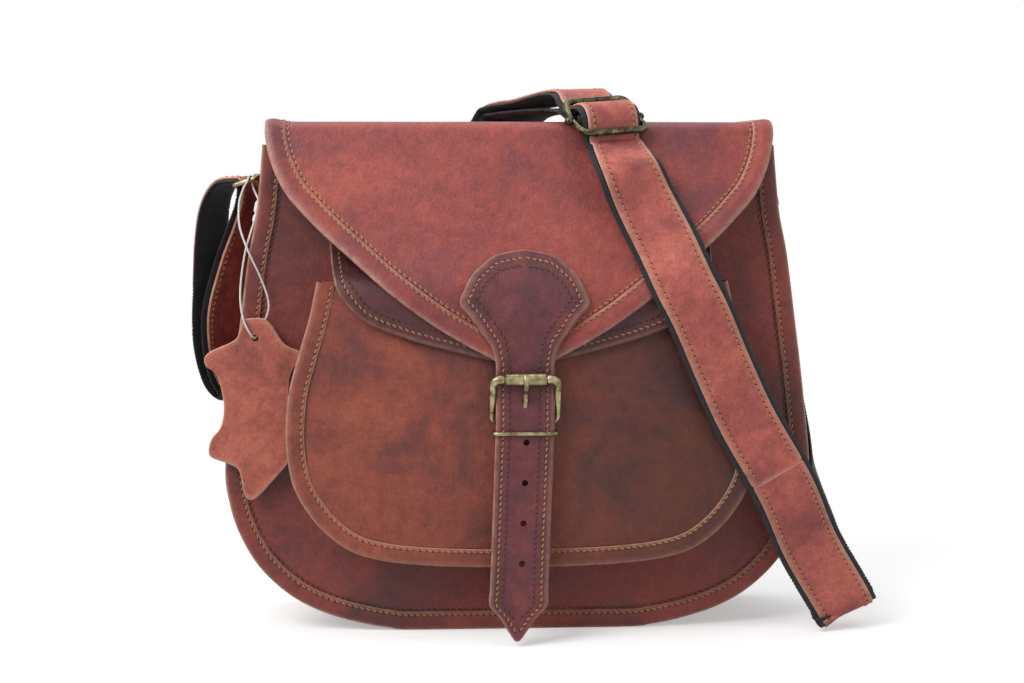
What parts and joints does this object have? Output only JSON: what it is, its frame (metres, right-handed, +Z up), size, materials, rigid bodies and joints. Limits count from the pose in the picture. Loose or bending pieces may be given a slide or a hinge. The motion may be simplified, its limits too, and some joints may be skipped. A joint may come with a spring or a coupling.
{
  "type": "crossbody satchel",
  "caption": "Leather crossbody satchel with a rounded body, front pocket, buckled flap, ring-mounted shoulder strap and a bare hang tag.",
  "frame": {"origin": "middle of the flat bottom of the side gusset, which the bag stands on", "axes": "+X to the right seen from the front, +Y from the front to the back, +Z up"},
  "size_m": [0.3272, 0.1332, 0.2588],
  "materials": {
    "body_leather": "oiled, mottled",
    "dark_leather": "oiled, mottled",
    "tan_leather": "oiled, mottled",
    "lining_cloth": "plain woven",
    "webbing": "ribbed, matte",
    "brass": "antique, satin",
    "dark_brass": "antique, dark",
    "string": "smooth",
    "lock": "smooth"
  },
  "bodies": {
    "bag": {"back_panel": "body_leather", "front_panel": "body_leather", "side_gusset": "body_leather", "main_lining": "lining_cloth", "back_edge_binding": "body_leather", "front_edge_binding": "body_leather", "pocket_front": "body_leather", "pocket_gusset": "body_leather", "pocket_border": "body_leather", "buckle_chape": "dark_leather", "left_ring_tab": "body_leather", "right_ring_tab": "body_leather"},
    "flap": {"main_flap": "body_leather", "flap_border": "body_leather", "closure_strap": "dark_leather", "closure_strap_backing": "body_leather"},
    "pocket_flap": {"pocket_flap": "dark_leather"},
    "buckle_frame": {"buckle_frame": "brass"},
    "buckle_roller": {"buckle_roller": "brass"},
    "buckle_prong": {"buckle_prong": "brass"},
    "strap_keeper": {"strap_keeper": "brass"},
    "left_ring": {"left_ring": "brass"},
    "right_ring": {"right_ring": "brass"},
    "shoulder_strap": {"strap_webbing": "webbing", "strap_leather_front": "tan_leather", "strap_leather_left": "tan_leather", "strap_leather_lower": "tan_leather"},
    "slider": {"slider_frame": "dark_brass", "slider_bar": "dark_brass"},
    "tag_string": {"tag_string": "string", "tag_lock": "lock"},
    "hang_tag": {"hang_tag": "tan_leather"}
  },
  "joints": [
    {"name": "flap_lift", "type": "hinge", "parent": "bag", "child": "flap", "pos_m": [0, 0.0352, 0.2394], "axis": [-1, 0, 0], "range_deg": [0, 125], "deforming": ["closure_strap", "closure_strap_backing"]},
    {"name": "strap_swing", "type": "hinge", "parent": "bag", "child": "shoulder_strap", "pos_m": [0, 0.0352, 0.2394], "axis": [-1, 0, 0], "range_deg": [0, 125], "deforming": ["strap_webbing", "strap_leather_front", "strap_leather_left", "strap_leather_lower"]},
    {"name": "slider_slide", "type": "slide", "parent": "shoulder_strap", "child": "slider", "axis": [0.3618, -0.6934, -0.6231], "range_m": [0, 0.015]},
    {"name": "pocket_flap_lift", "type": "hinge", "parent": "bag", "child": "pocket_flap", "pos_m": [0, -0.0374, 0.197], "axis": [-1, 0, 0], "range_deg": [0, 75]},
    {"name": "buckle_frame_swing", "type": "hinge", "parent": "bag", "child": "buckle_frame", "pos_m": [0, -0.0691, 0.1045], "axis": [1, 0, 0], "range_deg": [0, 20]},
    {"name": "prong_lift", "type": "hinge", "parent": "buckle_frame", "child": "buckle_prong", "pos_m": [0, -0.0691, 0.1045], "axis": [1, 0, 0], "range_deg": [0, 40]},
    {"name": "roller_spin", "type": "hinge", "parent": "buckle_frame", "child": "buckle_roller", "pos_m": [0, -0.0781, 0.125], "axis": [1, 0, 0], "continuous": true},
    {"name": "keeper_tilt", "type": "hinge", "parent": "bag", "child": "strap_keeper", "pos_m": [0, -0.0691, 0.1], "axis": [1, 0, 0], "range_deg": [-20, 8]},
    {"name": "left_ring_swing", "type": "hinge", "parent": "bag", "child": "left_ring", "pos_m": [-0.12079, 0.0015, 0.2165], "axis": [0.2419, 0.9703, 0], "range_deg": [-15, 30]},
    {"name": "right_ring_swing", "type": "hinge", "parent": "bag", "child": "right_ring", "pos_m": [0.11899, 0.0015, 0.2165], "axis": [0, 1, 0], "range_deg": [-40, 20]},
    {"name": "tag_string_hang", "type": "hinge", "parent": "left_ring", "child": "tag_string", "pos_m": [-0.1285, -0.0141, 0.2155], "axis": [0.2419, 0.9703, 0], "range_deg": [-30, 15], "deforming": ["tag_string"]},
    {"name": "hang_tag_swing", "type": "hinge", "parent": "tag_string", "child": "hang_tag", "pos_m": [-0.12472, -0.0436, 0.14168], "axis": [0, 1, 0], "range_deg": [-2, 35]}
  ],
  "couplings": [
    {"joint": "strap_swing", "follows": "flap_lift", "ratio": 1},
    {"joint": "pocket_flap_lift", "follows": "flap_lift", "ratio": 0.6},
    {"joint": "tag_string_hang", "follows": "left_ring_swing", "ratio": -1}
  ]
}
